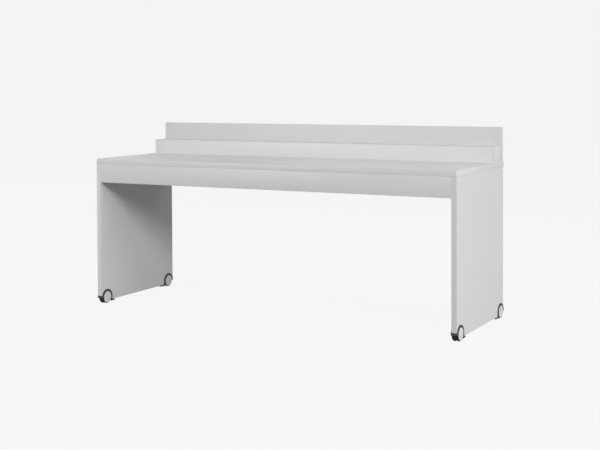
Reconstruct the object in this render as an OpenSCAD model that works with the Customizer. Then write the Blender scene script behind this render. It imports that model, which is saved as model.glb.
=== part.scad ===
// Long desk on castors, with a raised back shelf and an upstand.
// Millimetres. X runs along the desk, Y from the sitter to the back, Z up from the floor.
// The origin lies on the floor, under the centre of the worktop.

/* [Desk] */
// Length of the desk over its end panels
desk_w = 2000; // [1600:10:2600]
// Height of the worktop's upper face above the floor
desk_h = 768; // [640:1:960]
// Front-to-back size of the end panels
panel_d = 650; // [540:1:800]
// How far the worktop passes the end panels' rear edges
top_overhang = 10; // [0:1:30]
// Gap between the floor and the end panels' lower edges
floor_gap = 14; // [12:0.5:20]

/* [Boards] */
// Thickness of the end panels
panel_t = 25; // [22:0.5:32]
// Thickness of the worktop
top_t = 28; // [24:0.5:40]
// Thickness of the front apron
apron_t = 22; // [18:0.5:28]
// Height of the front apron
apron_h = 96; // [80:1:160]
// Thickness of the rear rail
rail_t = 22; // [18:0.5:28]
// Height of the rear rail
rail_h = 96; // [80:1:160]

/* [Raised shelf and upstand] */
// Height of the raised shelf above the worktop
shelf_h = 77; // [60:1:120]
// Depth of the raised shelf in front of the upstand
shelf_d = 98; // [80:1:160]
// Thickness of the raised shelf's boards
shelf_t = 16; // [16:0.5:19]
// How deep the raised shelf's front board is let into the worktop
shelf_sink = 1; // [0.5:0.5:4]
// Height of the upstand above the worktop
upstand_h = 170; // [130:1:260]
// Thickness of the upstand
upstand_t = 16; // [16:0.5:22]
// Strip of worktop left behind the upstand
rear_ledge = 16; // [0:1:40]

/* [Castors] */
// Wheel diameter over the tyre
wheel_d = 65; // [52:0.5:80]
// Width of the tyre's side left bare around the cover discs
tyre_rim = 2.5; // [1.5:0.5:4]
// Radial thickness of the tyre
tyre_t = 6.5; // [5:0.5:8]
// How far the cover discs stand proud of the end panel
disc_proud = 5.5; // [4:0.1:8]
// How far the hood flanges stand proud of the end panel
hood_proud = 4.5; // [3:0.1:7]
// Width of the hood flanges
hood_band = 8; // [6:0.5:10]
// Thickness of the housing wall that lines the cut-out
tunnel_t = 3.5; // [2.5:0.5:5]
// How far the hood stays inside the end panel's edge
hood_inset = 2; // [1:0.5:15]
// Height of the end panel's corner above the axle
corner_up = 11.5; // [9:0.5:16]
// Height of the housing's lip under that corner
lip_h = 8; // [6:0.5:9]
// Thickness of the web between the two wheels
web_t = 6; // [4:0.5:8]
// Thickness of the fixing tab under the end panel
tab_t = 7; // [5:0.5:8]
// Reach of the fixing tab past the hood
tab_reach = 26; // [24:1:40]
// Diameter of the axle
axle_d = 8; // [6:0.5:10]

/* [Fittings] */
// Dowel diameter in the frame
dowel_d = 8; // [6:0.5:10]
// Dowel diameter in the raised shelf
shelf_dowel_d = 6; // [5:0.5:8]
// Distance of the first frame dowel from a panel's edge
dowel_in = 50; // [40:1:80]
// Distance of the first cam fitting from a panel's edge
cam_in = 110; // [90:1:160]
// Distance of a cam disc's centre from the end of its board
cam_reach = 34; // [30:1:40]
// Distance of the outer angle brackets from the end panels
bracket_in = 300; // [120:10:500]
// Length of an angle bracket's legs
bracket_leg = 40; // [30:1:50]
// Steel thickness of the angle brackets
bracket_t = 2.5; // [2:0.5:3]
// Screws in each row that holds the raised shelf or the upstand
shelf_screws = 6; // [3:1:9]
// Distance of the outer shelf screws from the desk's ends
shelf_screw_in = 90; // [60:5:200]

/* [Clearances] */
// Radial clearance of the wheels on the axle
axle_clear = 0.05; // [0.02:0.01:0.09]
// Gap between the tyre and the housing
tyre_gap = 1.5; // [1:0.1:3]
// Side gap between a wheel and the web
web_gap = 0.5; // [0.3:0.1:1]
// Radial clearance of the dowels in their holes
dowel_clear = 0.1; // [0.05:0.05:0.2]
// Clearance of screws, bolts and cams in their holes
fit_clear = 0.1; // [0.05:0.05:0.3]

/* [Hidden] */
$fn = 72;
EPS = 0.5;

top_d = panel_d + top_overhang;
front_y = -top_d / 2;
panel_rear_y = front_y + panel_d;
end_x = desk_w / 2;
inner_x = end_x - panel_t;
mid_x = end_x - panel_t / 2;
frame_z = desk_h - top_t;

upstand_y = front_y + top_d - rear_ledge - upstand_t;
shelf_y = upstand_y - shelf_d;

// Castor sizes, measured from the axle: u points away from the panel's edge.
wheel_r = wheel_d / 2;
axle_r = axle_d / 2;
tunnel_r = wheel_r + tyre_gap;
cut_r = tunnel_r + tunnel_t;
hood_r = tunnel_r + hood_band;
castor_inset = hood_r + hood_inset;
lip_low = corner_up - lip_h;
panel_low = floor_gap - wheel_r;
leg_low = panel_low - tab_t;
lip_front = castor_inset - 1;
tab_end = hood_r + tab_reach;
tab_screw_at = [hood_r + 6, tab_end - 8];
wheel_in_x = web_t / 2 + web_gap;
wheel_out_x = panel_t / 2 + disc_proud;
disc_t = 2;
disc_in_x = wheel_out_x - disc_t;
rim_t = 2.5;
rim_r = wheel_r - tyre_t;
shoulder_r = 2.5;
rim_step = 0.5;
disc_r = wheel_r - tyre_rim;
plate_t = 3;
plate_gap = 3;
boss_r = axle_r + 4;
boss_step = web_gap - 0.2;
clip_room = 3.5;
boss_out_x = disc_in_x - clip_room;
groove_w = 1.1;
groove_r = axle_r - 0.7;
clip_t = 0.7;
clip_r = axle_r + 2;
axle_end_x = boss_out_x + 2.5;

// Fittings: depths in the face board and in the edge board that it meets.
dowel_face = 12;
dowel_edge = 22;
shelf_dowel_face = 9;
shelf_dowel_edge = 20;
dowel_end_gap = 0.5;
apron_dowel_in = 20;
cam_r = 7.5;
cam_h = 13;
cam_axis = 9.5;
cam_slot = 7.2;
bolt_thread_r = 2.5;
bolt_thread_l = 11;
bolt_shank_r = 3.4;
bolt_neck_r = 1.9;
bolt_head_r = 3.2;
bolt_head_l = 3.5;
bracket_w = 20;
bracket_hole_r = 2.4;
bracket_screw_at = [bracket_leg * 0.4, bracket_leg * 0.8];
small_screw_r = 2;
small_screw_l = 15;
pan_head_r = 4;
pan_head_h = 2.4;
long_screw_r = 2.25;
long_screw_bite = 32;
sunk_head_r = 4.4;
sunk_head_h = 2.6;
tab_screw_bite = 22;
recess_w = 1.1;

CASTORS = [
    ["front_left", -1, -1],
    ["front_right", 1, -1],
    ["rear_left", -1, 1],
    ["rear_right", 1, 1]
];
WHEELS = [["inner", -1], ["outer", 1]];
BOARD_NODES = [
    "worktop", "left_end_panel", "right_end_panel", "front_apron", "rear_rail",
    "shelf_front_board", "shelf_top_board", "shelf_left_end", "shelf_right_end", "upstand_panel"
];
FITTING_NODES = [
    "frame_dowels", "shelf_dowels", "cam_bolts", "cam_discs", "angle_brackets", "bracket_screws",
    "shelf_front_screws", "upstand_screws", "castor_screws", "axle_clips"
];

LACQUER = [0.86, 0.87, 0.88];
HOUSING_GREY = [0.22, 0.22, 0.23];
DISC_GREY = [0.80, 0.80, 0.81];
CORE_GREY = [0.45, 0.45, 0.46];
TYRE_BLACK = [0.06, 0.06, 0.06];
STEEL = [0.70, 0.71, 0.73];
ZINC = [0.78, 0.79, 0.80];
BEECH = [0.80, 0.62, 0.42];

// ---- Helpers ------------------------------------------------------------------------------

// A board between two opposite corners.
module board(low, high) {
    translate(low) cube(high - low);
}

// An outline in (u, height) given a thickness along X.
module along_x(x_from, x_to) {
    translate([x_from, 0, 0]) rotate([90, 0, 90]) linear_extrude(x_to - x_from) children();
}

// A profile in (radius, distance outwards) turned around the X axis.
module around_x() {
    rotate([0, 90, 0]) rotate_extrude() children();
}

// A rectangle with two or four rounded corners, from low to high.
module rounded_strip(low, high, r) {
    size = high - low;
    translate(low + [r, 0]) square([size[0] - 2 * r, size[1]]);
    translate(low + [0, r]) square([size[0], size[1] - 2 * r]);
    for (x = [low[0] + r, high[0] - r]) for (y = [low[1] + r, high[1] - r])
        translate([x, y]) circle(r = r);
}

// A cross recess in a screw head or a cam, cut downwards from z = 0.
module cross_recess(length, depth) {
    for (turn = [0, 90]) rotate([0, 0, turn])
        translate([-length / 2, -recess_w / 2, -depth]) cube([length, recess_w, depth + EPS]);
}

// A countersunk screw: the head's face is at z = 0 and the shank points down.
module sunk_screw(shank_r, length) {
    difference() {
        union() {
            translate([0, 0, -sunk_head_h]) cylinder(r1 = shank_r, r2 = sunk_head_r, h = sunk_head_h);
            translate([0, 0, -length + shank_r]) cylinder(r = shank_r, h = length - shank_r - sunk_head_h);
            translate([0, 0, -length]) cylinder(r1 = 0.4, r2 = shank_r, h = shank_r);
        }
        cross_recess(4.6, 1.8);
    }
}

// The hole for a countersunk screw: wide through the first board, close in the second.
module sunk_screw_hole(shank_r, length, first_board) {
    seat_r = sunk_head_r + fit_clear;
    translate([0, 0, -sunk_head_h])
        cylinder(r1 = shank_r + fit_clear, r2 = seat_r, h = sunk_head_h);
    cylinder(r = seat_r, h = EPS);
    translate([0, 0, -first_board]) cylinder(r = shank_r + 2 * fit_clear, h = first_board);
    translate([0, 0, -length - fit_clear]) cylinder(r = shank_r + fit_clear / 2, h = length);
}

// A pan-head screw: the head stands on z = 0 and the shank points down.
module pan_screw() {
    difference() {
        union() {
            cylinder(r = pan_head_r, h = pan_head_h);
            translate([0, 0, -small_screw_l]) cylinder(r = small_screw_r, h = small_screw_l);
        }
        translate([0, 0, pan_head_h]) cross_recess(4, 1.4);
    }
}

// ---- Places -------------------------------------------------------------------------------

// Frame dowels: z = 0 is the joint, +z runs into the board whose edge is drilled.
module at_frame_dowels() {
    for (side = [-1, 1]) {
        for (y = [front_y + dowel_in, panel_rear_y - dowel_in])
            translate([side * mid_x, y, frame_z]) rotate([180, 0, 0]) children();
        for (z = [frame_z - apron_dowel_in, frame_z - apron_h + apron_dowel_in])
            translate([side * inner_x, front_y + apron_t / 2, z]) rotate([0, -90 * side, 0]) children();
        for (z = [frame_z - apron_dowel_in, frame_z - rail_h + apron_dowel_in])
            translate([side * inner_x, panel_rear_y - rail_t / 2, z]) rotate([0, -90 * side, 0]) children();
    }
}

// Cam fittings: z = 0 is the joint, +z runs into the board with the disc, +y to the disc's face.
module at_cams() {
    for (side = [-1, 1]) {
        for (y = [front_y + cam_in, panel_rear_y - cam_in])
            translate([side * (inner_x + cam_axis), y, frame_z])
                rotate([0, 0, -90 * side]) rotate([180, 0, 0]) children();
        translate([side * inner_x, front_y + apron_t - cam_axis, frame_z - apron_h / 2])
            rotate([0, -90 * side, 0]) children();
        translate([side * inner_x, panel_rear_y - rail_t + cam_axis, frame_z - rail_h / 2])
            rotate([0, -90 * side, 0]) rotate([0, 0, 180]) children();
    }
}

// Angle brackets: the inner corner is the origin, one leg along +y and one down.
module at_brackets() {
    for (x = [-inner_x + bracket_in, 0, inner_x - bracket_in]) {
        translate([x, front_y + apron_t, frame_z]) children();
        translate([x, panel_rear_y - rail_t, frame_z]) mirror([0, 1, 0]) children();
    }
}

// Places of one bracket's screws, each with its head on z = 0.
module at_bracket_screws() {
    for (reach = bracket_screw_at) {
        translate([0, reach, -bracket_t]) rotate([180, 0, 0]) children();
        translate([0, bracket_t, -reach]) rotate([-90, 0, 0]) children();
    }
}

// A row of screws up through the worktop, at the given distance from front to back.
module at_screw_row(y) {
    pitch = (desk_w - 2 * shelf_screw_in) / (shelf_screws - 1);
    for (i = [0 : shelf_screws - 1])
        translate([-end_x + shelf_screw_in + i * pitch, y, frame_z]) rotate([180, 0, 0]) children();
}

// Raised-shelf dowels: z = 0 is the joint, +z runs into the board whose edge is drilled.
module at_shelf_dowels() {
    board_mid_z = desk_h + shelf_h - shelf_t / 2;
    pitch = (desk_w - 2 * shelf_screw_in) / (shelf_screws - 1);
    for (i = [0 : shelf_screws - 1]) {
        x = -end_x + shelf_screw_in + i * pitch;
        translate([x, shelf_y + shelf_t, board_mid_z]) rotate([-90, 0, 0]) children();
        translate([x, upstand_y, board_mid_z]) rotate([90, 0, 0]) children();
    }
    for (side = [-1, 1]) {
        x = side * (end_x - shelf_t / 2);
        for (y = [shelf_y + shelf_t + 20, upstand_y - 20]) translate([x, y, desk_h]) children();
        translate([x, shelf_y + shelf_t, desk_h + shelf_h / 2]) rotate([-90, 0, 0]) children();
        translate([x, upstand_y, desk_h + shelf_h / 2]) rotate([90, 0, 0]) children();
    }
}

// One castor: the origin is on its axle in the panel's middle, +x outwards, +y away from the edge.
module at_castor(c) {
    edge_y = c[2] < 0 ? front_y : panel_rear_y;
    translate([c[1] * mid_x, edge_y - c[2] * castor_inset, wheel_r])
        mirror([c[1] < 0 ? 1 : 0, 0, 0]) mirror([0, c[2] > 0 ? 1 : 0, 0]) children();
}

// One wheel of a castor: +x points out of the wheel's cover disc.
module at_wheel(c, w) {
    at_castor(c) mirror([w[1] < 0 ? 1 : 0, 0, 0]) children();
}

// The screws of one castor's tab, heads down.
module at_tab_screws() {
    for (u = tab_screw_at) translate([0, u, leg_low]) rotate([180, 0, 0]) children();
}

// ---- Cuts shared by the boards ------------------------------------------------------------

module frame_dowel_hole() {
    translate([0, 0, -dowel_face]) cylinder(r = dowel_d / 2 + dowel_clear, h = dowel_face + dowel_edge);
}

module shelf_dowel_hole() {
    translate([0, 0, -shelf_dowel_face])
        cylinder(r = shelf_dowel_d / 2 + dowel_clear, h = shelf_dowel_face + shelf_dowel_edge);
}

module cam_cut() {
    translate([0, 0, -bolt_thread_l - dowel_end_gap])
        cylinder(r = bolt_thread_r + fit_clear / 2, h = bolt_thread_l + dowel_end_gap);
    cylinder(r = bolt_shank_r + 2 * fit_clear, h = cam_reach);
    translate([0, cam_axis - cam_h - dowel_end_gap, cam_reach]) rotate([-90, 0, 0])
        cylinder(r = cam_r, h = cam_h + dowel_end_gap + EPS);
}

module bracket_pilots() {
    at_bracket_screws() translate([0, 0, -small_screw_l - fit_clear])
        cylinder(r = small_screw_r + fit_clear / 2, h = small_screw_l);
}

module shelf_screw_holes() {
    length = top_t + long_screw_bite;
    for (y = [shelf_y + shelf_t / 2, upstand_y + upstand_t / 2])
        at_screw_row(y)
            sunk_screw_hole(long_screw_r, length, top_t);
}

// The opening in the end panel that the castor's housing fills.
module castor_cut() {
    deep = wheel_r + EPS;
    along_x(-panel_t / 2 - EPS, panel_t / 2 + EPS) {
        circle(r = cut_r);
        translate([0, -deep]) square([cut_r, deep]);
        translate([-castor_inset - EPS, -deep]) square([castor_inset + EPS, deep + corner_up]);
    }
}

module tab_screw_holes() {
    at_tab_screws() sunk_screw_hole(small_screw_r, tab_t + tab_screw_bite, tab_t);
}

// ---- Boards -------------------------------------------------------------------------------

module worktop() {
    color(LACQUER) difference() {
        board([-end_x, front_y, frame_z], [end_x, front_y + top_d, desk_h]);
        at_frame_dowels() frame_dowel_hole();
        at_cams() cam_cut();
        at_brackets() bracket_pilots();
        board([-end_x - EPS, shelf_y, desk_h - shelf_sink],
              [end_x + EPS, shelf_y + shelf_t, desk_h + EPS]);
        shelf_screw_holes();
        at_shelf_dowels() shelf_dowel_hole();
    }
}

module end_panel(side) {
    color(LACQUER) difference() {
        board([min(side * inner_x, side * end_x), front_y, floor_gap],
              [max(side * inner_x, side * end_x), panel_rear_y, frame_z]);
        at_frame_dowels() frame_dowel_hole();
        at_cams() cam_cut();
        for (c = CASTORS) if (c[1] == side) at_castor(c) {
            castor_cut();
            tab_screw_holes();
        }
    }
}

module front_apron() {
    color(LACQUER) difference() {
        board([-inner_x, front_y, frame_z - apron_h], [inner_x, front_y + apron_t, frame_z]);
        at_frame_dowels() frame_dowel_hole();
        at_cams() cam_cut();
        at_brackets() bracket_pilots();
    }
}

module rear_rail() {
    color(LACQUER) difference() {
        board([-inner_x, panel_rear_y - rail_t, frame_z - rail_h], [inner_x, panel_rear_y, frame_z]);
        at_frame_dowels() frame_dowel_hole();
        at_cams() cam_cut();
        at_brackets() bracket_pilots();
    }
}

module shelf_front_board() {
    color(LACQUER) difference() {
        board([-end_x, shelf_y, desk_h - shelf_sink], [end_x, shelf_y + shelf_t, desk_h + shelf_h]);
        shelf_screw_holes();
        at_shelf_dowels() shelf_dowel_hole();
    }
}

module shelf_top_board() {
    color(LACQUER) difference() {
        board([-end_x + shelf_t, shelf_y + shelf_t, desk_h + shelf_h - shelf_t],
              [end_x - shelf_t, upstand_y, desk_h + shelf_h]);
        at_shelf_dowels() shelf_dowel_hole();
    }
}

module shelf_end(side) {
    inside_x = end_x - shelf_t;
    color(LACQUER) difference() {
        board([min(side * inside_x, side * end_x), shelf_y + shelf_t, desk_h],
              [max(side * inside_x, side * end_x), upstand_y, desk_h + shelf_h]);
        at_shelf_dowels() shelf_dowel_hole();
    }
}

module upstand_panel() {
    color(LACQUER) difference() {
        board([-end_x, upstand_y, desk_h], [end_x, upstand_y + upstand_t, desk_h + upstand_h]);
        shelf_screw_holes();
        at_shelf_dowels() shelf_dowel_hole();
    }
}

// ---- Fittings -----------------------------------------------------------------------------

module frame_dowels() {
    color(BEECH) at_frame_dowels() translate([0, 0, -dowel_face + dowel_end_gap])
        cylinder(r = dowel_d / 2, h = dowel_face + dowel_edge - 2 * dowel_end_gap);
}

module shelf_dowels() {
    color(BEECH) at_shelf_dowels() translate([0, 0, -shelf_dowel_face + dowel_end_gap])
        cylinder(r = shelf_dowel_d / 2, h = shelf_dowel_face + shelf_dowel_edge - 2 * dowel_end_gap);
}

module cam_bolts() {
    neck_from = cam_reach - cam_r;
    head_from = cam_reach - bolt_head_l;
    color(ZINC) at_cams() {
        translate([0, 0, -bolt_thread_l]) cylinder(r = bolt_thread_r, h = bolt_thread_l);
        cylinder(r = bolt_shank_r, h = neck_from - fit_clear);
        translate([0, 0, neck_from - 2 * fit_clear]) cylinder(r = bolt_neck_r, h = cam_r);
        translate([0, 0, head_from]) cylinder(r = bolt_head_r, h = bolt_head_l);
    }
}

module cam_discs() {
    loose_r = cam_r - fit_clear;
    color(ZINC) at_cams() difference() {
        translate([0, cam_axis - cam_h, cam_reach]) rotate([-90, 0, 0])
            cylinder(r = loose_r, h = cam_h);
        translate([-cam_slot / 2, -cam_slot / 2, cam_reach - cam_r])
            cube([cam_slot, cam_slot, cam_r + bolt_head_r]);
        translate([0, cam_axis, cam_reach]) rotate([-90, 0, 0]) cross_recess(7, 2);
    }
}

module angle_brackets() {
    color(ZINC) at_brackets() difference() {
        translate([-bracket_w / 2, 0, 0]) {
            board([0, 0, -bracket_t], [bracket_w, bracket_leg, 0]);
            board([0, 0, -bracket_leg], [bracket_w, bracket_t, 0]);
        }
        at_bracket_screws() translate([0, 0, -bracket_t - EPS])
            cylinder(r = bracket_hole_r, h = bracket_t + 2 * EPS);
    }
}

module bracket_screws() {
    color(ZINC) at_brackets() at_bracket_screws() pan_screw();
}

module worktop_screws(y) {
    color(STEEL) at_screw_row(y)
        sunk_screw(long_screw_r, top_t + long_screw_bite);
}

module castor_screws() {
    color(STEEL) for (c = CASTORS) at_castor(c)
        at_tab_screws() sunk_screw(small_screw_r, tab_t + tab_screw_bite);
}

module axle_clips() {
    color(STEEL) for (c = CASTORS) for (w = WHEELS) at_wheel(c, w) around_x()
        translate([groove_r + fit_clear, boss_out_x + (groove_w - clip_t)])
            square([clip_r - groove_r - fit_clear, clip_t]);
}

// ---- Castors ------------------------------------------------------------------------------

// A U-shaped band round the wheel: over the axle, and down the side away from the panel's edge.
module u_band(r_in, r_out, edge_low) {
    difference() {
        union() {
            circle(r = r_out);
            translate([0, leg_low]) square([r_out, -leg_low]);
        }
        circle(r = r_in);
        translate([0, leg_low - EPS]) square([r_in, -leg_low + EPS]);
        translate([-r_out - EPS, -r_out - EPS]) square([r_out + EPS, r_out + EPS + edge_low]);
        translate([-EPS, -r_out - EPS]) square([r_out + 2 * EPS, r_out + EPS + leg_low]);
    }
}

// The hood flange on a panel's face, with a round end beside the panel's edge.
module flange_outline() {
    end_r = hood_band / 2;
    mean_r = tunnel_r + end_r;
    end_up = lip_low + end_r;
    u_band(tunnel_r, hood_r, end_up);
    translate([-sqrt(mean_r * mean_r - end_up * end_up), end_up]) circle(r = end_r);
}

// The lining of the cut-out, with the lip that closes the panel's corner.
module lining_outline() {
    u_band(tunnel_r, cut_r, lip_low);
    difference() {
        translate([-lip_front, lip_low]) square([lip_front, lip_h]);
        circle(r = tunnel_r);
    }
}

// The web between the wheels.
module web_outline() {
    bare_r = wheel_r - 2;
    join_r = tunnel_r + tunnel_t / 2;
    intersection() {
        union() {
            circle(r = bare_r);
            intersection() {
                circle(r = join_r);
                translate([-join_r, lip_low]) square([2 * join_r, join_r]);
            }
            translate([0, panel_low]) square([join_r, lip_low - panel_low + EPS]);
        }
        translate([-join_r, panel_low]) square([2 * join_r, join_r - panel_low]);
    }
}

module castor_housing() {
    face_x = panel_t / 2;
    tab_x = face_x - 1;
    color(HOUSING_GREY) difference() {
        union() {
            for (side = [-1, 1])
                along_x(min(side * face_x, side * (face_x + hood_proud)),
                        max(side * face_x, side * (face_x + hood_proud))) flange_outline();
            along_x(-face_x, face_x) lining_outline();
            along_x(-web_t / 2, web_t / 2) web_outline();
            along_x(-web_t / 2 - boss_step, web_t / 2 + boss_step) circle(r = boss_r);
            board([-tab_x, tunnel_r, leg_low], [tab_x, tab_end - tab_x, panel_low]);
            translate([0, tab_end - tab_x, leg_low]) cylinder(r = tab_x, h = tab_t);
        }
        rotate([0, 90, 0]) cylinder(r = axle_r, h = 2 * boss_r, center = true);
        tab_screw_holes();
    }
}

module axle() {
    color(STEEL) difference() {
        rotate([0, 90, 0]) cylinder(r = axle_r, h = 2 * axle_end_x, center = true);
        for (w = WHEELS) mirror([w[1] < 0 ? 1 : 0, 0, 0]) around_x()
            translate([groove_r, boss_out_x + fit_clear]) square([axle_r, groove_w]);
    }
}

module wheel_core() {
    plate_from = wheel_in_x + plate_gap;
    rim_in = rim_r - rim_t;
    rim_from = wheel_in_x + rim_step;
    bore_r = axle_r + axle_clear;
    color(CORE_GREY) around_x() {
        translate([bore_r, wheel_in_x]) square([boss_r - bore_r, boss_out_x - wheel_in_x]);
        translate([boss_r - EPS, plate_from]) square([rim_in - boss_r + 2 * EPS, plate_t]);
        translate([rim_in, rim_from]) square([rim_t, disc_in_x - rim_from]);
    }
}

module wheel_tyre() {
    side_x = wheel_in_x + rim_step;
    color(TYRE_BLACK) around_x() {
        rounded_strip([rim_r, side_x], [wheel_r, disc_in_x], shoulder_r);
        translate([rim_r, side_x]) square([shoulder_r, disc_in_x - side_x]);
    }
}

module wheel_disc() {
    edge = 0.8;
    skirt_out = rim_r - rim_t - fit_clear;
    skirt_in = skirt_out - 1.8;
    color(DISC_GREY) around_x() {
        polygon([
            [0, disc_in_x],
            [disc_r, disc_in_x],
            [disc_r, wheel_out_x - edge],
            [disc_r - edge, wheel_out_x],
            [0, wheel_out_x]
        ]);
        translate([skirt_in, disc_in_x - clip_room]) square([skirt_out - skirt_in, clip_room + EPS]);
    }
}

// ---- Assembly -----------------------------------------------------------------------------

worktop();
end_panel(-1);  // left_end_panel
end_panel(1);  // right_end_panel
front_apron();
rear_rail();
shelf_front_board();
shelf_top_board();
shelf_end(-1);  // shelf_left_end
shelf_end(1);  // shelf_right_end
upstand_panel();
frame_dowels();
shelf_dowels();
cam_bolts();
cam_discs();
angle_brackets();
bracket_screws();
worktop_screws(shelf_y + shelf_t / 2);  // shelf_front_screws
worktop_screws(upstand_y + upstand_t / 2);  // upstand_screws
castor_screws();
axle_clips();
for (c = CASTORS) {
    at_castor(c) castor_housing();
    at_castor(c) axle();
    for (w = WHEELS) {
        wheel = str(c[0], "_", w[0], "_wheel_");
        at_wheel(c, w) wheel_core();
        at_wheel(c, w) wheel_tyre();
        at_wheel(c, w) wheel_disc();
    }
}
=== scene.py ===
"""Looks of a long white desk on twin-wheel castors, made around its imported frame.

Lengths are in metres. X runs along the desk, Y from the sitter to the back, Z up from the floor.
"""

import logging
import math
from collections.abc import Callable, Iterator
from contextlib import contextmanager
from dataclasses import dataclass, field
from enum import Enum

import bmesh
import bpy
from mathutils import Matrix, Vector


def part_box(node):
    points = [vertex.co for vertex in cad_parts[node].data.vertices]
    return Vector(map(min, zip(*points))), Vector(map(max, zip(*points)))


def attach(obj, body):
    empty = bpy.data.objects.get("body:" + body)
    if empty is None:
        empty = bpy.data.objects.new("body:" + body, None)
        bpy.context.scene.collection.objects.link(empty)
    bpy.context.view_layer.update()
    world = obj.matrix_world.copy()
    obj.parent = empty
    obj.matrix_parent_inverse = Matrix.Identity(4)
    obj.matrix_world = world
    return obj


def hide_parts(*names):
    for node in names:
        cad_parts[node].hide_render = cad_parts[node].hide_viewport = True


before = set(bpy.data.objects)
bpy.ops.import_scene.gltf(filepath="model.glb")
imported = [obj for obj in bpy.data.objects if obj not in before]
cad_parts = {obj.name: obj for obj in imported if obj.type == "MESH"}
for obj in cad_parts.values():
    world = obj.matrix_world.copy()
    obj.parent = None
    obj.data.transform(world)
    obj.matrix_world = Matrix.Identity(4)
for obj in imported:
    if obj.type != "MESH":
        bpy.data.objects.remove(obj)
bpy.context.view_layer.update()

log = logging.getLogger("desk")

Colour = tuple[float, float, float]
Point = tuple[float, float, float]
Outline = list[tuple[float, float]]


class Side(Enum):
    """The desk's left or right end, as the sign of X."""

    LEFT = -1
    RIGHT = 1


class Row(Enum):
    """The front or rear castors, as the sign of Y."""

    FRONT = -1
    REAR = 1


class Half(Enum):
    """The wheel of a castor that faces under the desk, or away from it."""

    INNER = -1
    OUTER = 1


class Slot(Enum):
    """The record's material slots of the new pieces."""

    BOARD = "lacquered_board"
    HOUSING = "housing_plastic"
    CORE = "core_plastic"
    DISC = "disc_plastic"
    TYRE = "tyre_rubber"


class Solid(Enum):
    """How two solids are put together."""

    JOIN = "UNION"
    CUT = "DIFFERENCE"


# ---- Shader building ------------------------------------------------------------------------


class Wire:
    """A number that changes over a surface: a socket with arithmetic."""

    def __init__(self, graph: "Graph", socket: bpy.types.NodeSocket) -> None:
        """Wraps an output socket.

        Args:
            graph: The material's graph that the socket is in.
            socket: The output socket.
        """
        self.graph = graph
        self.socket = socket

    def _maths(self, operation: str, *terms: "Wire | float") -> "Wire":
        """Adds a Math node.

        Args:
            operation: The Math node's operation.
            terms: Its inputs in order.

        Returns:
            The node's result.
        """
        node = self.graph.node("ShaderNodeMath", {"operation": operation}, dict(enumerate(terms)))
        return Wire(self.graph, node.outputs[0])

    def __add__(self, other: "Wire | float") -> "Wire":
        """The sum."""
        return self._maths("ADD", self, other)

    def __radd__(self, other: float) -> "Wire":
        """The sum with a number in front."""
        return self._maths("ADD", other, self)

    def __sub__(self, other: "Wire | float") -> "Wire":
        """The difference."""
        return self._maths("SUBTRACT", self, other)

    def __mul__(self, other: "Wire | float") -> "Wire":
        """The product."""
        return self._maths("MULTIPLY", self, other)

    def ramp(self, low: float, high: float) -> "Wire":
        """Stretches low to high over 0 to 1, and holds the rest at the ends.

        Args:
            low: The value that becomes 0.
            high: The value that becomes 1.

        Returns:
            The stretched value.
        """
        node = self.graph.node(
            "ShaderNodeMapRange",
            {"interpolation_type": "SMOOTHSTEP"},
            {"Value": self, "From Min": low, "From Max": high},
        )
        return Wire(self.graph, node.outputs["Result"])


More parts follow.
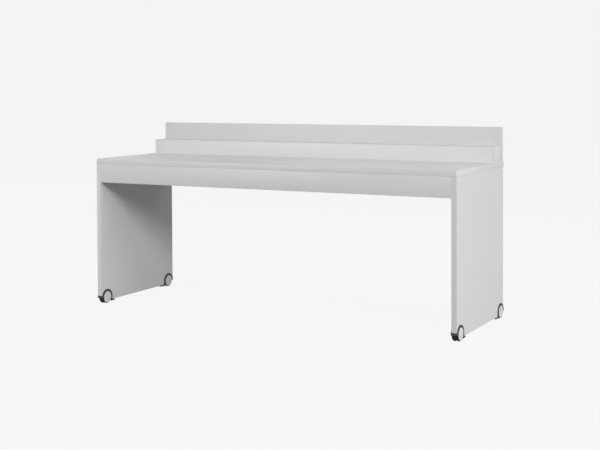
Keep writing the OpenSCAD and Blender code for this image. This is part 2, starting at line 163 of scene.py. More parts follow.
class Graph:
    """The node tree of one material, filled from code."""

    def __init__(self, material: bpy.types.Material) -> None:
        """Empties the material's tree.

        Args:
            material: The material to fill.
        """
        material.use_nodes = True
        self.tree = material.node_tree
        self.tree.nodes.clear()

    def node(
        self, kind: str, settings: dict[str, object] | None = None, values: dict | None = None
    ) -> bpy.types.Node:
        """Adds any node.

        Args:
            kind: The node's type.
            settings: Its properties, which are set first; "stops" holds a ramp's places and colours.
            values: Its inputs by name or number: a Wire, an output socket, or a plain value.

        Returns:
            The new node.
        """
        made = self.tree.nodes.new(kind)
        for key, value in (settings or {}).items():
            if key == "stops":
                for stop, (place, colour) in zip(self._stops(made, len(value)), value):
                    stop.position = place
                    stop.color = (*colour, 1.0)
            else:
                setattr(made, key, value)
        for key, value in (values or {}).items():
            if isinstance(value, Wire):
                self.tree.links.new(value.socket, made.inputs[key])
            elif isinstance(value, bpy.types.NodeSocket):
                self.tree.links.new(value, made.inputs[key])
            else:
                made.inputs[key].default_value = value
        return made

    @staticmethod
    def _stops(ramp: bpy.types.Node, count: int) -> list:
        """Gives a colour ramp the number of stops that it needs, and returns them."""
        elements = ramp.color_ramp.elements
        while len(elements) < count:
            elements.new(1.0)
        return list(elements)

    def place(self, stretch: Point = (1.0, 1.0, 1.0)) -> bpy.types.NodeSocket:
        """The point on the piece, in metres.

        Args:
            stretch: How many times the pattern is squeezed along X, Y and Z.

        Returns:
            The coordinates' socket.
        """
        here = self.node("ShaderNodeTexCoord").outputs["Object"]
        return self.node("ShaderNodeMapping", None, {"Vector": here, "Scale": stretch}).outputs[0]

    def noise(self, where: bpy.types.NodeSocket, scale: float, detail: float = 2.0) -> Wire:
        """A cloudy pattern between about 0.2 and 0.8.

        Args:
            where: The coordinates.
            scale: Clouds in a metre.
            detail: Octaves of finer clouds.

        Returns:
            The pattern.
        """
        made = self.node(
            "ShaderNodeTexNoise", None, {"Vector": where, "Scale": scale, "Detail": detail}
        )
        return Wire(self, made.outputs[0])

    def tint(self, share: Wire, low: Colour, high: Colour) -> bpy.types.NodeSocket:
        """A colour between two, by share.

        Args:
            share: 0 for low and 1 for high.
            low: The first colour.
            high: The second colour.

        Returns:
            The colour's socket.
        """
        made = self.node(
            "ShaderNodeMix",
            {"data_type": "RGBA"},
            {"Factor": share, 6: (*low, 1.0), 7: (*high, 1.0)},
        )
        return made.outputs[2]

    def relief(self, height: Wire, depth: float, strength: float = 1.0) -> bpy.types.NodeSocket:
        """A fine relief.

        Args:
            height: The pattern, 0 for low and 1 for high.
            depth: The height in metres that 1 stands for.
            strength: How much of it shows.

        Returns:
            The normal's socket.
        """
        made = self.node(
            "ShaderNodeBump", None, {"Height": height, "Distance": depth, "Strength": strength}
        )
        return made.outputs[0]

    def surface(self, values: dict[str, object]) -> None:
        """Ends the graph in one Principled shader.

        Args:
            values: The shader's inputs.
        """
        shader = self.node("ShaderNodeBsdfPrincipled", None, values)
        self.node("ShaderNodeOutputMaterial", None, {"Surface": shader.outputs[0]})


# ---- Finishes -------------------------------------------------------------------------------


@dataclass(frozen=True)
class Finish:
    """A surface finish. One material is made of it and shared by the pieces."""

    name: str
    colour: Colour
    roughness: float

    def paint(self, graph: Graph) -> None:
        """Fills the material's graph."""
        raise NotImplementedError

    def material(self) -> bpy.types.Material:
        """The finish's material, made once."""
        found = bpy.data.materials.get(self.name)
        if found is None:
            found = bpy.data.materials.new(self.name)
            self.paint(Graph(found))
        return found

    def dress(self, obj: bpy.types.Object) -> None:
        """Puts the finish on a piece or on a CAD node.

        Args:
            obj: The mesh object.
        """
        if obj.material_slots:
            for place in obj.material_slots:
                place.material = self.material()
        else:
            obj.data.materials.append(self.material())

    def shade(self, factor: float) -> Colour:
        """The finish's colour made darker or paler by a factor."""
        return tuple(min(1.0, channel * factor) for channel in self.colour)


@dataclass(frozen=True)
class SatinLacquer(Finish):
    """White lacquer sprayed on smooth board."""

    cloud_scale: float = 2.2
    peel_scale: float = 360.0
    peel_depth: float = 0.00004

    def paint(self, graph: Graph) -> None:
        """A nearly even white, with the coat's faint orange peel and its uneven gloss."""
        here = graph.place()
        cloud = graph.noise(here, self.cloud_scale, 3.0)
        smear = graph.noise(graph.place((1.0, 6.0, 6.0)), 5.0, 4.0)
        peel = graph.noise(here, self.peel_scale, 1.0)
        speck = graph.noise(here, self.peel_scale * 3.0, 0.0).ramp(0.70, 0.80)
        tone = cloud * 0.7 + smear * 0.3 - speck * 0.05
        graph.surface({
            "Base Color": graph.tint(tone, self.shade(0.975), self.shade(1.015)),
            "Roughness": self.roughness + (smear - 0.5) * 0.10 + (peel - 0.5) * 0.05,
            "Normal": graph.relief(peel, self.peel_depth, 0.5),
            "Specular IOR Level": 0.45,
        })


@dataclass(frozen=True)
class MouldedPlastic(Finish):
    """Moulded plastic with a finely spark-eroded skin."""

    grain_scale: float = 900.0
    grain_depth: float = 0.00006
    scuff: float = 0.35

    def paint(self, graph: Graph) -> None:
        """An even plastic with a fine grain and paler scuffs."""
        here = graph.place()
        grain = graph.noise(here, self.grain_scale, 2.0)
        flow = graph.noise(here, 22.0, 3.0)
        scuffs = graph.noise(graph.place((1.0, 1.0, 4.0)), 160.0, 3.0).ramp(0.62, 0.76) * self.scuff
        tone = flow * 0.6 + grain * 0.2 + scuffs
        graph.surface({
            "Base Color": graph.tint(tone, self.shade(0.86), self.shade(1.22)),
            "Roughness": self.roughness + (grain - 0.5) * 0.16 + scuffs * 0.12,
            "Normal": graph.relief(grain, self.grain_depth, 0.5),
        })


@dataclass(frozen=True)
class Rubber(Finish):
    """Black rubber with floor dust in its pores."""

    dust: Colour = (0.16, 0.155, 0.15)

    def paint(self, graph: Graph) -> None:
        """A dull black with a dusty tread."""
        here = graph.place()
        pores = graph.noise(here, 1400.0, 2.0)
        dust = graph.noise(here, 70.0, 4.0).ramp(0.48, 0.80) * 0.35
        graph.surface({
            "Base Color": graph.tint(dust, self.colour, self.dust),
            "Roughness": self.roughness + (pores - 0.5) * 0.14 + dust * 0.1,
            "Normal": graph.relief(pores, 0.00008, 0.6),
        })


@dataclass(frozen=True)
class PlatedMetal(Finish):
    """Plated or bare steel, drawn along one direction."""

    draw: Point = (1.0, 1.0, 1.0)
    mottle: float = 0.10

    def paint(self, graph: Graph) -> None:
        """A metal with drawing lines and a cloudy plating."""
        lines = graph.noise(graph.place(self.draw), 700.0, 2.0)
        bloom = graph.noise(graph.place(), 90.0, 4.0)
        tone = bloom * 0.7 + lines * 0.3
        graph.surface({
            "Base Color": graph.tint(tone, self.shade(0.80), self.shade(1.12)),
            "Metallic": 1.0,
            "Roughness": self.roughness + (bloom - 0.5) * self.mottle + (lines - 0.5) * 0.12,
            "Normal": graph.relief(lines, 0.00003, 0.4),
        })


@dataclass(frozen=True)
class TurnedBeech(Finish):
    """Pale beech, with its short dark flecks."""

    fleck: Colour = (0.36, 0.20, 0.09)

    def paint(self, graph: Graph) -> None:
        """Soft growth bands with flecks along the grain."""
        bands = graph.noise(graph.place((1.0, 1.0, 6.0)), 60.0, 4.0)
        flecks = graph.noise(graph.place((8.0, 8.0, 1.5)), 240.0, 1.0).ramp(0.58, 0.70)
        tone = bands * 0.6 + flecks * 0.5
        graph.surface({
            "Base Color": graph.tint(tone, self.shade(1.1), self.fleck),
            "Roughness": self.roughness + (bands - 0.5) * 0.2,
            "Normal": graph.relief(bands, 0.0001, 0.5),
        })


LACQUER = SatinLacquer("satin_white_lacquer", (0.806, 0.808, 0.812), 0.37)
# The upstand's lacquer is the same white painted 8% darker. This is painted shade, because the upstand
# catches less light than the shelf's front.
SHADED_UPSTAND_LACQUER = SatinLacquer("satin_upstand_lacquer", (0.742, 0.744, 0.748), 0.40)
HOUSING = MouldedPlastic("dark_housing_plastic", (0.085, 0.085, 0.088), 0.30)
CORE = MouldedPlastic("grey_core_plastic", (0.22, 0.22, 0.225), 0.50)
DISC = MouldedPlastic("pale_disc_plastic", (0.80, 0.806, 0.815), 0.34, scuff=0.20)
TYRE = Rubber("black_tyre_rubber", (0.020, 0.020, 0.021), 0.72)
ZINC = PlatedMetal("bright_zinc_plate", (0.66, 0.68, 0.70), 0.36)
STEEL = PlatedMetal("drawn_steel", (0.56, 0.57, 0.59), 0.30, draw=(0.2, 4.0, 4.0))
BEECH = TurnedBeech("turned_beech", (0.62, 0.40, 0.22), 0.62)


# ---- Modelling ------------------------------------------------------------------------------


class Shape:
    """A mesh in the making, worked on by operators."""

    def __init__(self, obj: bpy.types.Object) -> None:
        """Takes a mesh object in hand."""
        self.obj = obj

    @staticmethod
    def _take(obj: bpy.types.Object) -> None:
        """Makes an object the only one selected, and the active one."""
        bpy.ops.object.select_all(action="DESELECT")
        obj.select_set(True)
        bpy.context.view_layer.objects.active = obj

    @classmethod
    def _new(cls, name: str) -> "Shape":
        """Names the primitive just added, and moves its place into its mesh."""
        made = cls(bpy.context.object)
        made.obj.name = made.obj.data.name = name
        bpy.ops.object.transform_apply(location=True, rotation=True, scale=True)
        return made

    @classmethod
    def block(cls, name: str, low: Vector, high: Vector) -> "Shape":
        """A block between two opposite corners.

        Args:
            name: The piece's name.
            low: The lowest corner.
            high: The highest corner.

        Returns:
            The new shape.
        """
        low, high = Vector(low), Vector(high)
        bpy.ops.object.select_all(action="DESELECT")
        bpy.ops.mesh.primitive_cube_add(size=1.0, location=(low + high) / 2, scale=high - low)
        return cls._new(name)

    @classmethod
    def bar(
        cls, name: str, start: Point, axis: Point, radius: float, length: float, tip: float = -1.0
    ) -> "Shape":
        """A round bar or a cone.

        Args:
            name: The piece's name.
            start: The middle of its first end.
            axis: The direction that it runs in.
            radius: Its radius at the start.
            length: Its length.
            tip: Its radius at the far end, or below 0 for the same.

        Returns:
            The new shape.
        """
        run = Vector(axis).normalized()
        bpy.ops.object.select_all(action="DESELECT")
        bpy.ops.mesh.primitive_cone_add(
            vertices=48,
            radius1=radius,
            radius2=radius if tip < 0 else tip,
            depth=length,
            location=Vector(start) + run * length / 2,
            rotation=run.to_track_quat("Z", "Y").to_euler(),
        )
        return cls._new(name)

    @classmethod
    def strip(cls, name: str, low: Vector, high: Vector) -> "Shape":
        """A flat level rectangle, the start of a swept bar.

        Args:
            name: The piece's name.
            low: The lowest corner.
            high: The highest corner, at the same height.

        Returns:
            The new shape.
        """
        size = high - low
        bpy.ops.object.select_all(action="DESELECT")
        bpy.ops.mesh.primitive_plane_add(size=1.0, location=(low + high) / 2)
        bpy.context.object.scale = (size.x, size.y, 1.0)
        return cls._new(name)

    @classmethod
    def turned(cls, name: str, outline: Outline, steps: int = 72) -> "Shape":
        """A shape turned on a lathe whose centre line is the X axis.

        Args:
            name: The piece's name.
            outline: Points (radius, X) in order. The shape closes at the centre line or at its start.
            steps: Facets round the shape.

        Returns:
            The new shape.
        """
        radius, along = outline[0]
        bpy.ops.object.select_all(action="DESELECT")
        bpy.ops.mesh.primitive_plane_add(size=0.001, location=(along, 0.0, radius))
        made = cls._new(name)
        with made.editing():
            bpy.ops.mesh.select_all(action="SELECT")
            bpy.ops.mesh.merge(type="CENTER")
            bpy.ops.mesh.select_mode(type="VERT")
            bpy.ops.mesh.select_all(action="SELECT")
            for (r_from, x_from), (r_to, x_to) in zip(outline, outline[1:]):
                step = (x_to - x_from, 0.0, r_to - r_from)
                bpy.ops.mesh.extrude_region_move(TRANSFORM_OT_translate={"value": step})
            bpy.ops.mesh.select_all(action="SELECT")
            bpy.ops.mesh.spin(
                steps=steps, angle=math.tau, center=(0.0, 0.0, 0.0), axis=(1.0, 0.0, 0.0)
            )
        made.tidy()
        return made

    @contextmanager
    def editing(self) -> Iterator[None]:
        """Opens edit mode with nothing selected, and closes it again."""
        self._take(self.obj)
        bpy.ops.object.mode_set(mode="EDIT")
        bpy.ops.mesh.select_all(action="DESELECT")
        yield
        bpy.ops.object.mode_set(mode="OBJECT")

    def pick_faces(self, test: Callable[[Vector, Vector], bool]) -> None:
        """Selects faces, in edit mode.

        Args:
            test: Says from a face's middle and normal whether it is wanted.
        """
        bpy.ops.mesh.select_mode(type="FACE")
        mesh = bmesh.from_edit_mesh(self.obj.data)
        for face in mesh.faces:
            face.select_set(bool(test(face.calc_center_median(), face.normal)))
        mesh.select_flush_mode()
        bmesh.update_edit_mesh(self.obj.data)

    def pick_edges(self, test: Callable[[Vector, Vector], bool]) -> None:
        """Selects edges, in edit mode.

        Args:
            test: Says from an edge's middle and direction whether it is wanted.
        """
        bpy.ops.mesh.select_mode(type="EDGE")
        mesh = bmesh.from_edit_mesh(self.obj.data)
        for edge in mesh.edges:
            ends = [vert.co for vert in edge.verts]
            wanted = test((ends[0] + ends[1]) / 2, (ends[1] - ends[0]).normalized())
            edge.select_set(bool(wanted))
        mesh.select_flush_mode()
        bmesh.update_edit_mesh(self.obj.data)

    def tidy(self) -> None:
        """Merges doubled points and turns every face outwards."""
        with self.editing():
            bpy.ops.mesh.select_all(action="SELECT")
            bpy.ops.mesh.remove_doubles(threshold=0.00001)
            bpy.ops.mesh.normals_make_consistent(inside=False)

    def combine(self, other: "Shape", how: Solid) -> "Shape":
        """Adds another solid to this one or cuts it away, and uses the other up.

        Args:
            other: The second solid.
            how: Join or cut.

        Returns:
            This shape.
        """
        self._take(self.obj)
        step = self.obj.modifiers.new("solid", "BOOLEAN")
        step.operation = how.value
        step.solver = "MANIFOLD"
        step.object = other.obj
        bpy.ops.object.modifier_apply(modifier=step.name)
        bpy.data.meshes.remove(other.obj.data)
        return self

    def ease(self, width: float, segments: int = 3) -> "Shape":
        """Rounds every sharp edge.

        Args:
            width: The rounding's width.
            segments: Facets across it.

        Returns:
            This shape.
        """
        self._take(self.obj)
        step = self.obj.modifiers.new("ease", "BEVEL")
        step.width = width
        step.segments = segments
        step.limit_method = "ANGLE"
        step.angle_limit = math.radians(35)
        step.miter_outer = "MITER_ARC"
        bpy.ops.object.modifier_apply(modifier=step.name)
        return self

    def smooth(self, degrees: float = 35.0) -> "Shape":
        """Shades smoothly all but the sharper edges.

        Args:
            degrees: Edges sharper than this stay crisp.

        Returns:
            This shape.
        """
        self._take(self.obj)
        bpy.ops.object.shade_smooth_by_angle(angle=math.radians(degrees))
        return self

    def copy(self, name: str, centre: Vector, flip_x: bool, flip_y: bool) -> "Shape":
        """A copy with its own mesh, mirrored if asked and moved to its place.

        Args:
            name: The copy's name.
            centre: Where the shape's origin goes.
            flip_x: Whether it is mirrored along X.
            flip_y: Whether it is mirrored along Y.

        Returns:
            The copy.
        """
        made = Shape(bpy.data.objects.new(name, self.obj.data.copy()))
        made.obj.data.name = name
        bpy.context.scene.collection.objects.link(made.obj)
        self._take(made.obj)
        made.obj.location = centre
        made.obj.scale = (-1.0 if flip_x else 1.0, -1.0 if flip_y else 1.0, 1.0)
        bpy.ops.object.transform_apply(location=True, rotation=True, scale=True)
        made.tidy()
        return made.smooth()

    def discard(self) -> None:
        """Removes the shape."""
        bpy.data.meshes.remove(self.obj.data)

    def settle(self, finish: Finish, slot: Slot, body: str, node: str) -> None:
        """Finishes a piece: its material, the body it rides on and the CAD node it stands for.

        Args:
            finish: The surface finish.
            slot: The record's slot. Not used.
            body: The CAD body.
            node: The CAD node.
        """
        finish.dress(self.obj)
        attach(self.obj, body)
        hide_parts(node)
        log.info("%s: %d faces on body %s", self.obj.name, len(self.obj.data.polygons), body)


# ---- Boards ---------------------------------------------------------------------------------


@dataclass
class Castor:
    """A twin-wheel castor. Its own frame: the axle's middle, X out of the panel, Y away from its edge."""

    wheel_r: float = 0.0325
    tunnel_r: float = 0.034
    lining_r: float = 0.0375
    hood_r: float = 0.042
    face_x: float = 0.0125
    hood_x: float = 0.017
    inset: float = 0.044
    corner_up: float = 0.0115
    lip_low: float = -0.002
    lip_front: float = 0.043
    lip_step: float = 0.0015
    bead_r: float = 0.0032
    leg_low: float = -0.0255
    panel_low: float = -0.0185
    web_half: float = 0.003
    web_r: float = 0.0305
    boss_r: float = 0.008
    boss_half: float = 0.0033
    tab_half: float = 0.0155
    tab_end: float = 0.068
    tab_round: float = 0.008
    tab_hole_r: float = 0.0022
    tab_hole_depth: float = 0.009
    tab_sink_r: float = 0.0045
    tab_sink_depth: float = 0.0026
    tab_sink_tip: float = 0.0021
    screw_at: tuple[float, float] = (0.048, 0.060)
    axle_r: float = 0.004
    wheel_in: float = 0.0035
    disc_in: float = 0.016
    disc_out: float = 0.018
    rim_r: float = 0.026
    rim_t: float = 0.0025
    disc_r: float = 0.030
    across: Point = (1.0, 0.0, 0.0)
    up: Point = (0.0, 0.0, 1.0)
    through: float = 0.04

    def _sweep(
        self, name: str, x: tuple[float, float], r: tuple[float, float], turn: float
    ) -> Shape:
        """A flat bar up the castor's inner side and over the wheels.

        Args:
            name: The shape's name.
            x: Its lowest and highest X.
            r: Its inner and outer radius.
            turn: The angle that it runs round the axle, in radians.

        Returns:
            The new shape, open to further work at its far end.
        """
        made = Shape.strip(name, Vector((x[0], r[0], self.leg_low)), Vector((x[1], r[1], self.leg_low)))
        with made.editing():
            bpy.ops.mesh.select_all(action="SELECT")
            rise = {"value": (0.0, 0.0, -self.leg_low)}
            bpy.ops.mesh.extrude_region_move(TRANSFORM_OT_translate=rise)
            bpy.ops.mesh.spin(steps=36, angle=-turn, center=(0.0, 0.0, 0.0), axis=self.across)
        made.tidy()
        return made

    def hood(self, side: Half) -> Shape:
        """The raised flange round the cut-out on one face of the panel, with a round end.

        Args:
            side: The panel's inner or outer face.

        Returns:
            The new shape.
        """
        end_r = (self.hood_r - self.tunnel_r) / 2
        mean_r = self.tunnel_r + end_r
        turn = math.pi - math.asin((self.lip_low + end_r) / mean_r)
        band = sorted((side.value * (self.face_x - 0.001), side.value * self.hood_x))
        made = self._sweep("hood", (band[0], band[1]), (self.tunnel_r, self.hood_r), turn)
        down = Vector((0.0, -math.sin(turn), math.cos(turn)))
        end = Vector((0.0, math.cos(turn), math.sin(turn))) * mean_r
        with made.editing():
            made.pick_faces(lambda at, normal: normal.dot(down) > 0.95 and (at - end).yz.length < 0.001)
            bpy.ops.mesh.extrude_region_move(TRANSFORM_OT_translate={"value": down * end_r})
            tip = end + down * end_r
            made.pick_edges(
                lambda at, run: abs(run.x) > 0.99 and (at - tip).yz.length < end_r * 1.05
            )
            bpy.ops.mesh.bevel(offset=end_r * 0.97, segments=6)
        made.tidy()
        return made.ease(0.0009, 3)

    def tab(self) -> Shape:
        """The fixing tab under the panel, with its two countersunk holes."""
        low = Vector((-self.tab_half, self.tunnel_r + 0.0005, self.leg_low))
        high = Vector((self.tab_half, self.tab_end, self.panel_low))
        made = Shape.block("tab", low, high)
        with made.editing():
            made.pick_edges(lambda at, run: abs(run.z) > 0.99 and at.y > self.tab_end - 0.001)
            bpy.ops.mesh.bevel(offset=self.tab_round, segments=10)
        made.ease(0.0005, 2)
        for reach in self.screw_at:
            below = (0.0, reach, self.leg_low - 0.001)
            hole = Shape.bar("hole", below, self.up, self.tab_hole_r, self.tab_hole_depth)
            made.combine(hole, Solid.CUT)
            foot = (0.0, reach, self.leg_low - 0.0001)
            sink = Shape.bar(
                "sink", foot, self.up, self.tab_sink_r, self.tab_sink_depth, self.tab_sink_tip
            )
            made.combine(sink, Solid.CUT)
        return made

    def web(self) -> Shape:
        """The plate between the wheels, with the axle's boss."""
        join_r = (self.tunnel_r + self.lining_r) / 2
        made = Shape.bar("web", (-self.web_half, 0, 0), self.across, self.web_r, 2 * self.web_half)
        crown = Shape.bar("crown", (-self.web_half, 0, 0), self.across, join_r, 2 * self.web_half)
        with crown.editing():
            bpy.ops.mesh.select_all(action="SELECT")
            bpy.ops.mesh.bisect(
                plane_co=(0, 0, self.lip_low), plane_no=(0, 0, 1), use_fill=True, clear_inner=True
            )
        made.combine(crown, Solid.JOIN)
        cheek_low = (-self.web_half, 0.0, self.panel_low - 0.01)
        cheek_high = (self.web_half, join_r, self.lip_low + 0.001)
        made.combine(Shape.block("cheek", cheek_low, cheek_high), Solid.JOIN)
        with made.editing():
            bpy.ops.mesh.select_all(action="SELECT")
            bpy.ops.mesh.bisect(
                plane_co=(0, 0, self.panel_low), plane_no=(0, 0, 1), use_fill=True, clear_inner=True
            )
        made.tidy()
        boss = Shape.bar("boss", (-self.boss_half, 0, 0), self.across, self.boss_r, 2 * self.boss_half)
        return made.combine(boss, Solid.JOIN)

    def lip(self) -> Shape:
        """The lip that closes the panel's corner in front of the wheels, with its bead."""
        made = Shape.block(
            "lip",
            (-self.face_x, self.lip_step - self.lip_front, self.lip_low),
            (self.face_x, -self.tunnel_r * 0.9, self.corner_up),
        )
        start = (-self.through / 2, 0.0, 0.0)
        tunnel = Shape.bar("tunnel", start, self.across, self.tunnel_r, self.through)
        made.combine(tunnel, Solid.CUT)
        made.ease(0.0006, 2)
        start = (-self.face_x, self.bead_r - self.lip_front, self.lip_low + self.bead_r)
        bead = Shape.bar("bead", start, self.across, self.bead_r, 2 * self.face_x)
        return made.combine(bead, Solid.JOIN)

    def housing(self) -> Shape:
        """The whole moulded housing."""
        turn = math.pi - math.asin(self.lip_low / self.tunnel_r)
        made = self._sweep(
            "housing", (-self.face_x, self.face_x), (self.tunnel_r, self.lining_r), turn
        )
        for part in (self.lip(), self.web(), self.tab(), self.hood(Half.INNER), self.hood(Half.OUTER)):
            made.combine(part, Solid.JOIN)
        start = (-self.through / 2, 0.0, 0.0)
        bore = Shape.bar("bore", start, self.across, self.axle_r + 0.00003, self.through)
        made.combine(bore, Solid.CUT)
        made.tidy()
        return made

    def core(self) -> Shape:
        """A wheel's hub, plate and rim."""
        hub_out = self.disc_in - 0.0035
        bore_r = self.axle_r + 0.00005
        rim_in = self.rim_r - self.rim_t
        rim_from = self.wheel_in + 0.0005
        plate_from = self.wheel_in + 0.003
        plate_to = plate_from + 0.003
        return Shape.turned("core", [
            (bore_r, self.wheel_in),
            (self.boss_r, self.wheel_in),
            (self.boss_r, plate_from),
            (rim_in, plate_from),
            (rim_in, rim_from),
            (self.rim_r, rim_from),
            (self.rim_r, self.disc_in),
            (rim_in, self.disc_in),
            (rim_in, plate_to),
            (self.boss_r, plate_to),
            (self.boss_r, hub_out),
            (bore_r, hub_out),
            (bore_r, self.wheel_in),
        ]).ease(0.0003, 2)

    def tyre(self) -> Shape:
        """A wheel's tyre, with a shallow groove round its tread."""
        side_in = self.wheel_in + 0.0005
        middle = (side_in + self.disc_in) / 2
        made = Shape.turned("tyre", [
            (self.rim_r, side_in),
            (self.wheel_r - 0.0022, side_in),
            (self.wheel_r - 0.0012, side_in + 0.0006),
            (self.wheel_r - 0.0003, side_in + 0.0018),
            (self.wheel_r, side_in + 0.0030),
            (self.wheel_r, middle - 0.0006),
            (self.wheel_r - 0.0005, middle),
            (self.wheel_r, middle + 0.0006),
            (self.wheel_r, self.disc_in - 0.0030),
            (self.wheel_r - 0.0003, self.disc_in - 0.0018),
            (self.wheel_r - 0.0012, self.disc_in - 0.0006),
            (self.wheel_r - 0.0022, self.disc_in),
            (self.rim_r, self.disc_in),
            (self.rim_r, side_in),
        ])
        return made

    def disc(self) -> Shape:
        """A wheel's cover disc, gently domed, with the skirt that clips into the rim."""
        skirt_out = self.rim_r - self.rim_t - 0.0001
        skirt_in = skirt_out - 0.0018
        dome = [
            (self.disc_r * share, self.disc_out - 0.0006 * share**3)
            for share in (0.0, 0.25, 0.5, 0.7, 0.85, 0.96)
        ]
        return Shape.turned("disc", [
            *dome,
            (self.disc_r, self.disc_out - 0.0010),
            (self.disc_r, self.disc_in),
            (skirt_out, self.disc_in),
            (skirt_out, self.disc_in - 0.0030),
            (skirt_in, self.disc_in - 0.0034),
            (skirt_in, self.disc_in),
            (0.0, self.disc_in),
        ])

    def panel_cuts(self, centre: Vector, row: Row) -> list[Shape]:
        """The solids to cut from an end panel for this castor.

        Args:
            centre: The axle's middle.
            row: The front or rear castor.

        Returns:
            The cutters.
        """
        far = 0.05
        out = row.value
        round_top = Shape.bar(
            "cut", centre - Vector((far / 2, 0, 0)), self.across, self.lining_r, far
        )
        spans = [(0.0, -out * self.lining_r, 0.0), (0.0, out * far, self.corner_up)]
        blocks = []
        for start, end, up in spans:
            low = centre + Vector((-far / 2, min(start, end), -far))
            high = centre + Vector((far / 2, max(start, end), up))
            blocks.append(Shape.block("cut", low, high))
        return [round_top, *blocks]

    def fit(self, side: Side, row: Row, parts: dict[str, Shape]) -> None:
        """Puts one castor in its place, wheels and all.

        Args:
            side: The desk's end.
            row: Front or rear.
            parts: The shapes modelled once: housing, core, tyre and disc.
        """
        corner = f"{row.name}_{side.name}".lower()
        centre = middle(f"{corner}_castor_axle")
        flip_y = row is Row.REAR
        name = f"{corner}_castor_housing"
        housing = parts["housing"].copy(f"{name}_shaped", centre, side is Side.LEFT, flip_y)
        housing.settle(HOUSING, Slot.HOUSING, "desk", name)
        STEEL.dress(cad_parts[f"{corner}_castor_axle"])
        for half in Half:
            wheel = f"{corner}_{half.name.lower()}_wheel"
            flip_x = side.value * half.value < 0
            for part, finish, slot in (
                ("core", CORE, Slot.CORE),
                ("tyre", TYRE, Slot.TYRE),
                ("disc", DISC, Slot.DISC),
            ):
                made = parts[part].copy(f"{wheel}_{part}_turned", centre, flip_x, flip_y)
                made.settle(finish, slot, wheel, f"{wheel}_{part}")

    def build(self) -> None:
        """Models one castor, fits it at the four corners, and clears the pattern away."""
        parts = {
            "housing": self.housing(),
            "core": self.core(),
            "tyre": self.tyre(),
            "disc": self.disc(),
        }
        for row in Row:
            for side in Side:
                self.fit(side, row, parts)
        for part in parts.values():
            part.discard()


def middle(node: str) -> Vector:
    """The middle of a CAD node's box."""
    low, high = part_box(node)
    return (low + high) / 2


@dataclass
class Carcass:
    """The worktop, end panels, apron and rail."""

    castor: Castor
    top_edge: float = 0.0020
    board_edge: float = 0.0011
    cross_edge: float = 0.0006
    cam_r: float = 0.0075
    cam_depth: float = 0.0135
    cam_from_end: float = 0.034
    cam_in: float = 0.110
    sink_r: float = 0.0045
    sink_depth: float = 0.0026
    sink_tip: float = 0.0023
    row_screws: int = 6

    def _start(self, node: str) -> Shape:
        """A block in the place of a CAD board."""
        return Shape.block(f"{node}_eased", *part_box(node))

    def _finish(self, made: Shape, node: str) -> None:
        """Shades a board and settles it in the desk's body."""
        made.tidy()
        made.smooth(20.0)
        made.settle(LACQUER, Slot.BOARD, "desk", node)

    def _cam(self, made: Shape, mouth: Point, inwards: Point) -> None:
        """Bores a cam's hole.

        Args:
            made: The board.
            mouth: The hole's middle on the board's face.
            inwards: The direction into the board.
        """
        start = Vector(mouth) - Vector(inwards) * 0.001
        made.combine(Shape.bar("bore", start, inwards, self.cam_r, self.cam_depth + 0.001), Solid.CUT)

    def end_panel(self, side: Side) -> None:
        """An end panel with its castor cut-outs and cam holes.

        Args:
            side: The desk's end.
        """
        node = f"{side.name.lower()}_end_panel"
        low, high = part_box(node)
        made = self._start(node)
        for row in Row:
            corner = f"{row.name}_{side.name}".lower()
            for cutter in self.castor.panel_cuts(middle(f"{corner}_castor_axle"), row):
                made.combine(cutter, Solid.CUT)
        made.ease(self.board_edge)
        inner = low.x if side is Side.RIGHT else high.x
        for y in (low.y + self.cam_in, high.y - self.cam_in):
            self._cam(made, (inner, y, high.z - self.cam_from_end), (side.value, 0.0, 0.0))
        self._finish(made, node)

    def cross_board(self, node: str, inwards: float) -> None:
        """The apron or the rail, with a cam's hole near each end.

        Args:
            node: The CAD node.
            inwards: The sign of Y from the board's hidden face into it.
        """
        low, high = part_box(node)
        made = self._start(node).ease(self.cross_edge)
        face = high.y if inwards < 0 else low.y
        for x in (low.x + self.cam_from_end, high.x - self.cam_from_end):
            self._cam(made, (x, face, (low.z + high.z) / 2), (0.0, inwards, 0.0))
        self._finish(made, node)

    def worktop(self) -> None:
        """The worktop, with the shelf's groove and the screws' countersinks on its underside."""
        node = "worktop"
        low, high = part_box(node)
        made = self._start(node).ease(self.top_edge, 4)
        made.combine(self._groove(high), Solid.CUT)
        for row_node in ("shelf_front_screws", "upstand_screws"):
            ends, (first, last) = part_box(row_node), self._row_span(row_node)
            y = (ends[0].y + ends[1].y) / 2
            for i in range(self.row_screws):
                x = first + (last - first) * i / (self.row_screws - 1)
                start = (x, y, low.z - 0.0001)
                sink = Shape.bar(
                    "sink", start, self.castor.up, self.sink_r, self.sink_depth, self.sink_tip
                )
                made.combine(sink, Solid.CUT)
        self._finish(made, node)

    def _groove(self, high: Vector) -> Shape:
        """The solid to cut from the worktop where the raised shelf's front board is let in."""
        over = 0.005
        foot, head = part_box("shelf_front_board")
        low_end = Vector((foot.x - over, foot.y, foot.z))
        high_end = Vector((head.x + over, head.y, high.z + over))
        return Shape.block("groove", low_end, high_end)

    def _row_span(self, node: str) -> tuple[float, float]:
        """The X of the first and the last screw in a row."""
        low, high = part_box(node)
        reach = self.sink_r - 0.0001
        return low.x + reach, high.x - reach

    def build(self) -> None:
        """Makes the five boards."""
        self.worktop()
        for side in Side:
            self.end_panel(side)
        self.cross_board("front_apron", -1.0)
        self.cross_board("rear_rail", 1.0)


@dataclass
class RaisedShelf:
    """The boxed shelf along the back, with the upstand behind it."""

    edge: float = 0.0011
    nodes: tuple[str, ...] = (
        "shelf_front_board",
        "shelf_top_board",
        "shelf_left_end",
        "shelf_right_end",
        "upstand_panel",
    )

    def build(self) -> None:
        """Makes the five boards."""
        for node in self.nodes:
            made = Shape.block(f"{node}_eased", *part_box(node)).ease(self.edge)
            made.tidy()
            made.smooth(20.0)
            # The upstand takes the darker copy of the white lacquer, which is painted shade.
            finish = SHADED_UPSTAND_LACQUER if node == "upstand_panel" else LACQUER
            made.settle(finish, Slot.BOARD, "desk", node)


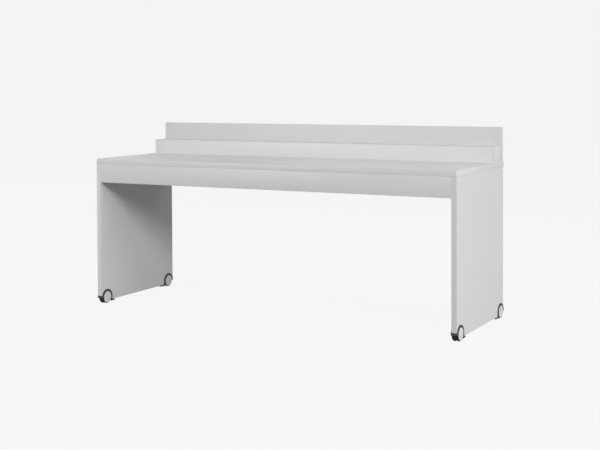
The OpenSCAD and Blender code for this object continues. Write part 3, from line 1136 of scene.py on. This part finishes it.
@dataclass
class Fittings:
    """The small hardware, which keeps its CAD shapes."""

    finishes: dict[str, Finish] = field(default_factory=lambda: {
        "frame_dowels": BEECH,
        "shelf_dowels": BEECH,
        "cam_bolts": ZINC,
        "cam_discs": ZINC,
        "angle_brackets": ZINC,
        "bracket_screws": ZINC,
        "shelf_front_screws": STEEL,
        "upstand_screws": STEEL,
        "castor_screws": STEEL,
        "axle_clips": STEEL,
    })

    def build(self) -> None:
        """Gives each fitting its metal or wood."""
        for node, finish in self.finishes.items():
            finish.dress(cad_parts[node])
            log.info("%s: %s", node, finish.name)


# ---- Studio ---------------------------------------------------------------------------------

COOL: Colour = (0.965, 0.98, 1.0)
WARM: Colour = (1.0, 0.995, 0.985)


@dataclass(frozen=True)
class Paper(Finish):
    """Backdrop paper: it glows a little of itself, so that shadows on it stay faint."""

    glow: float = 0.8

    def paint(self, graph: Graph) -> None:
        """Even paper with a trace of unevenness."""
        tone = graph.noise(graph.place(), 0.6, 2.0)
        graph.surface({
            "Base Color": graph.tint(tone, self.shade(0.98), self.shade(1.02)),
            "Roughness": self.roughness,
            "Specular IOR Level": 0.0,
            "Emission Color": (1.0, 1.0, 1.0, 1.0),
            "Emission Strength": self.glow,
        })


@dataclass(frozen=True)
class Lamp:
    """A soft box."""

    name: str
    place: Point
    aim: Point
    size: tuple[float, float]
    power: float
    colour: Colour = (1.0, 1.0, 1.0)

    def build(self) -> None:
        """Hangs the lamp."""
        data = bpy.data.lights.new(self.name, "AREA")
        data.shape = "RECTANGLE"
        data.size, data.size_y = self.size
        data.energy = self.power
        data.color = self.colour
        obj = bpy.data.objects.new(self.name, data)
        bpy.context.scene.collection.objects.link(obj)
        obj.location = self.place
        run = Vector(self.aim) - Vector(self.place)
        obj.rotation_euler = run.to_track_quat("-Z", "Y").to_euler()
        obj.visible_camera = False


@dataclass
class Studio:
    """The backdrop, floor, lamps and camera."""

    backdrop_r: float = 15.0
    bend_r: float = 5.0
    wall_h: float = 14.0
    floor_r: float = 9.0
    floor_z: float = -0.002
    ambient: float = 0.20
    yaw: float = 28.307
    pitch: float = 1.831
    roll: float = -0.288
    eye: Point = (2.7599, -5.0504, 1.1532)
    lens: float = 67.91
    shift: tuple[float, float] = (-0.0006, -0.1743)
    paper: Paper = Paper("backdrop_paper", (0.06, 0.06, 0.06), 0.9, glow=0.89)
    bounce: Paper = Paper("bounce_floor", (0.35, 0.35, 0.35), 0.9, glow=0.0)
    lamps: tuple[Lamp, ...] = (
        Lamp("key_right", (8.0, -4.5, 3.4), (0.0, 0.0, 0.5), (1.8, 1.8), 336.0, COOL),
        Lamp("side_right", (8.5, -0.8, 2.6), (0.0, 0.0, 0.5), (2.4, 2.4), 219.0, COOL),
        Lamp("left_high", (-3.0, -2.4, 3.4), (-0.5, 0.0, 0.6), (2.4, 2.4), 53.6, WARM),
        Lamp("left_front", (-2.4, -4.6, 1.5), (-0.6, 0.0, 0.5), (2.0, 1.6), 47.8, WARM),
        Lamp("back", (0.0, 2.6, 3.0), (0.0, 0.0, 0.7), (4.0, 2.0), 26.2),
        Lamp("left_back", (-7.0, 4.5, 2.6), (0.0, 0.0, 0.6), (5.0, 4.0), 47.5),
    )

    def backdrop(self) -> None:
        """A floor that curves up all round into a wall. Only the camera sees it."""
        bend = [
            (self.backdrop_r + self.bend_r * math.sin(a), self.bend_r * (1 - math.cos(a)))
            for a in (math.radians(9 * i) for i in range(11))
        ]
        rim = [(self.backdrop_r * share, 0.0) for share in (0.0, 0.5)]
        made = Shape.turned("backdrop", [*rim, *bend, (bend[-1][0], self.wall_h)], 96)
        made.obj.data.transform(Matrix.Rotation(-math.pi / 2, 4, "Y"))
        made.obj.data.flip_normals()
        made.smooth(60.0)
        self.paper.dress(made.obj)
        for ray in ("visible_diffuse", "visible_glossy", "visible_transmission", "visible_shadow"):
            setattr(made.obj, ray, False)

    def floor(self) -> None:
        """The floor that light comes back from. The camera doesn't see it."""
        bpy.ops.object.select_all(action="DESELECT")
        bpy.ops.mesh.primitive_circle_add(
            vertices=64, radius=self.floor_r, fill_type="NGON", location=(0.0, 0.0, self.floor_z)
        )
        made = bpy.context.object
        made.name = "bounce_floor"
        self.bounce.dress(made)
        made.visible_camera = False

    def world(self) -> None:
        """Even light from all round."""
        world = bpy.data.worlds.new("studio")
        bpy.context.scene.world = world
        world.use_nodes = True
        world.node_tree.nodes["Background"].inputs["Color"].default_value = (1.0, 1.0, 1.0, 1.0)
        world.node_tree.nodes["Background"].inputs["Strength"].default_value = self.ambient

    def camera(self) -> None:
        """The camera, in front of the desk's right end."""
        data = bpy.data.cameras.new("camera")
        data.lens = self.lens
        data.sensor_width = 36.0
        data.shift_x, data.shift_y = self.shift
        obj = bpy.data.objects.new("camera", data)
        bpy.context.scene.collection.objects.link(obj)
        turn = (
            Matrix.Rotation(math.radians(self.yaw), 4, "Z")
            @ Matrix.Rotation(math.radians(90.0 - self.pitch), 4, "X")
            @ Matrix.Rotation(math.radians(self.roll), 4, "Z")
        )
        obj.matrix_world = Matrix.Translation(self.eye) @ turn
        bpy.context.scene.camera = obj

    def build(self) -> None:
        """Sets the studio up."""
        self.backdrop()
        self.floor()
        self.world()
        for lamp in self.lamps:
            lamp.build()
        self.camera()
        bpy.context.scene.view_settings.view_transform = "Standard"


def main() -> None:
    """Builds the desk and its studio."""
    logging.basicConfig(level=logging.INFO, format="%(message)s")
    castor = Castor()
    for part in (Carcass(castor), RaisedShelf(), castor, Fittings(), Studio()):
        log.info("building %s", type(part).__name__)
        part.build()


if __name__ == "__main__":
    main()
